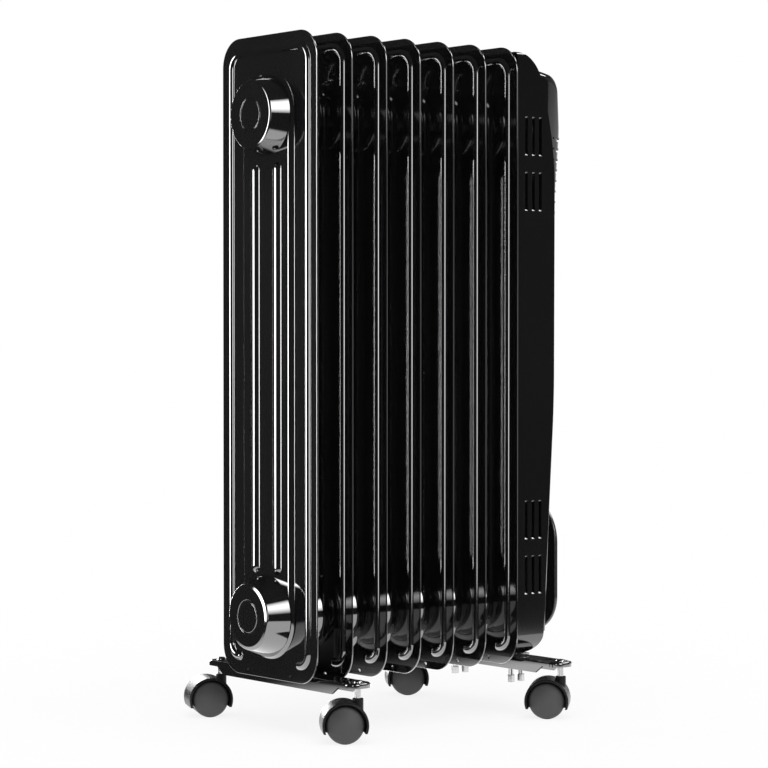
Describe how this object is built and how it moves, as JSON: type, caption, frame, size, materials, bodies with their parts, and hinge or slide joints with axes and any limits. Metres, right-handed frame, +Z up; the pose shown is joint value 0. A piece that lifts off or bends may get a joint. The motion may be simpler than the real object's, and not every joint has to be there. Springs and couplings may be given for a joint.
{
  "type": "oil filled radiator heater",
  "caption": "Free-standing electric radiator with pressed oil filled fins, a control housing with thermostat and rocker switches, and swivelling casters.",
  "frame": {"origin": "on the floor, midway between the two foot bars on the heater's centre plane", "axes": "+Z up, +X from the end fin towards the control panel, +Y towards the left side seen from the end fin"},
  "size_m": [0.3558, 0.2661, 0.64],
  "materials": {
    "black_enamel": "gloss black baked enamel",
    "black_gloss_plastic": "polished black moulding",
    "switch_plastic": "black moulding",
    "black_matte_plastic": "fine grained black moulding",
    "caster_plastic": "dark grey moulding",
    "lamp_lens": "clear amber lens",
    "bare_steel": "plain steel",
    "bright_zinc": "bright zinc plate"
  },
  "bodies": {
    "radiator": {"caster_stems": "bright_zinc", "control_housing": "black_gloss_plastic", "cord_gland": "black_matte_plastic", "cord_winder": "black_matte_plastic", "dial_ring": "black_gloss_plastic", "element_socket": "bare_steel", "end_cradle": "bare_steel", "end_foot_bar": "black_enamel", "end_u_bolt": "bright_zinc", "end_u_bolt_nuts": "bright_zinc", "fin_1": "black_enamel", "fin_2": "black_enamel", "fin_3": "black_enamel", "fin_4": "black_enamel", "fin_5": "black_enamel", "fin_6": "black_enamel", "fin_7": "black_enamel", "front_cradle": "bare_steel", "front_foot_bar": "black_enamel", "front_panel": "black_gloss_plastic", "front_strap": "bright_zinc", "grip_cup": "black_gloss_plastic", "heating_element": "bare_steel", "lower_end_cap": "black_enamel", "mounting_plate": "bare_steel", "oil_fill_plug": "bare_steel", "pilot_lamp": "lamp_lens", "strap_nuts": "bright_zinc", "strap_studs": "bright_zinc", "switch_frame_left": "switch_plastic", "switch_frame_right": "switch_plastic", "terminal_block": "black_matte_plastic", "thermal_cutout": "black_matte_plastic", "thermostat_body": "black_matte_plastic", "tilt_switch": "black_matte_plastic", "upper_end_cap": "black_enamel", "winder_screws": "bright_zinc"},
    "thermostat": {"thermostat_knob": "black_gloss_plastic", "thermostat_shaft": "bright_zinc"},
    "rocker_left": {"rocker_left": "switch_plastic"},
    "rocker_right": {"rocker_right": "switch_plastic"},
    "caster_end_left": {"caster_hood_end_left": "caster_plastic", "caster_axle_end_left": "bright_zinc"},
    "wheel_end_left_a": {"wheel_end_left_a": "caster_plastic"},
    "wheel_end_left_b": {"wheel_end_left_b": "caster_plastic"},
    "caster_end_right": {"caster_hood_end_right": "caster_plastic", "caster_axle_end_right": "bright_zinc"},
    "wheel_end_right_a": {"wheel_end_right_a": "caster_plastic"},
    "wheel_end_right_b": {"wheel_end_right_b": "caster_plastic"},
    "caster_front_left": {"caster_hood_front_left": "caster_plastic", "caster_axle_front_left": "bright_zinc"},
    "wheel_front_left_a": {"wheel_front_left_a": "caster_plastic"},
    "wheel_front_left_b": {"wheel_front_left_b": "caster_plastic"},
    "caster_front_right": {"caster_hood_front_right": "caster_plastic", "caster_axle_front_right": "bright_zinc"},
    "wheel_front_right_a": {"wheel_front_right_a": "caster_plastic"},
    "wheel_front_right_b": {"wheel_front_right_b": "caster_plastic"}
  },
  "joints": [
    {"name": "thermostat_turn", "type": "hinge", "parent": "radiator", "child": "thermostat", "pos_m": [0.16327, 0, 0.428], "axis": [-1, 0, 0], "range_deg": [0, 270]},
    {"name": "rocker_left_press", "type": "hinge", "parent": "radiator", "child": "rocker_left", "pos_m": [0.1542, 0.017, 0.363], "axis": [0, -1, 0], "range_deg": [0, 16]},
    {"name": "rocker_right_press", "type": "hinge", "parent": "radiator", "child": "rocker_right", "pos_m": [0.1542, -0.017, 0.363], "axis": [0, -1, 0], "range_deg": [0, 16]},
    {"name": "swivel_end_left", "type": "hinge", "parent": "radiator", "child": "caster_end_left", "pos_m": [-0.12198, 0.107, 0.04], "axis": [0, 0, 1], "continuous": true},
    {"name": "spin_end_left_a", "type": "hinge", "parent": "caster_end_left", "child": "wheel_end_left_a", "pos_m": [-0.13337, 0.11214, 0.0172], "axis": [0.4115, 0.9114, 0], "continuous": true},
    {"name": "spin_end_left_b", "type": "hinge", "parent": "caster_end_left", "child": "wheel_end_left_b", "pos_m": [-0.13337, 0.11214, 0.0172], "axis": [0.4115, 0.9114, 0], "continuous": true},
    {"name": "swivel_end_right", "type": "hinge", "parent": "radiator", "child": "caster_end_right", "pos_m": [-0.12198, -0.107, 0.04], "axis": [0, 0, 1], "continuous": true},
    {"name": "spin_end_right_a", "type": "hinge", "parent": "caster_end_right", "child": "wheel_end_right_a", "pos_m": [-0.13259, -0.10039, 0.0172], "axis": [0.5284, 0.849, 0], "continuous": true},
    {"name": "spin_end_right_b", "type": "hinge", "parent": "caster_end_right", "child": "wheel_end_right_b", "pos_m": [-0.13259, -0.10039, 0.0172], "axis": [0.5284, 0.849, 0], "continuous": true},
    {"name": "swivel_front_left", "type": "hinge", "parent": "radiator", "child": "caster_front_left", "pos_m": [0.12198, 0.107, 0.04], "axis": [0, 0, 1], "continuous": true},
    {"name": "spin_front_left_a", "type": "hinge", "parent": "caster_front_left", "child": "wheel_front_left_a", "pos_m": [0.11149, 0.11381, 0.0172], "axis": [0.5446, 0.8387, 0], "continuous": true},
    {"name": "spin_front_left_b", "type": "hinge", "parent": "caster_front_left", "child": "wheel_front_left_b", "pos_m": [0.11149, 0.11381, 0.0172], "axis": [0.5446, 0.8387, 0], "continuous": true},
    {"name": "swivel_front_right", "type": "hinge", "parent": "radiator", "child": "caster_front_right", "pos_m": [0.12198, -0.107, 0.04], "axis": [0, 0, 1], "continuous": true},
    {"name": "spin_front_right_a", "type": "hinge", "parent": "caster_front_right", "child": "wheel_front_right_a", "pos_m": [0.11328, -0.09802, 0.0172], "axis": [0.7181, 0.6959, 0], "continuous": true},
    {"name": "spin_front_right_b", "type": "hinge", "parent": "caster_front_right", "child": "wheel_front_right_b", "pos_m": [0.11328, -0.09802, 0.0172], "axis": [0.7181, 0.6959, 0], "continuous": true}
  ]
}
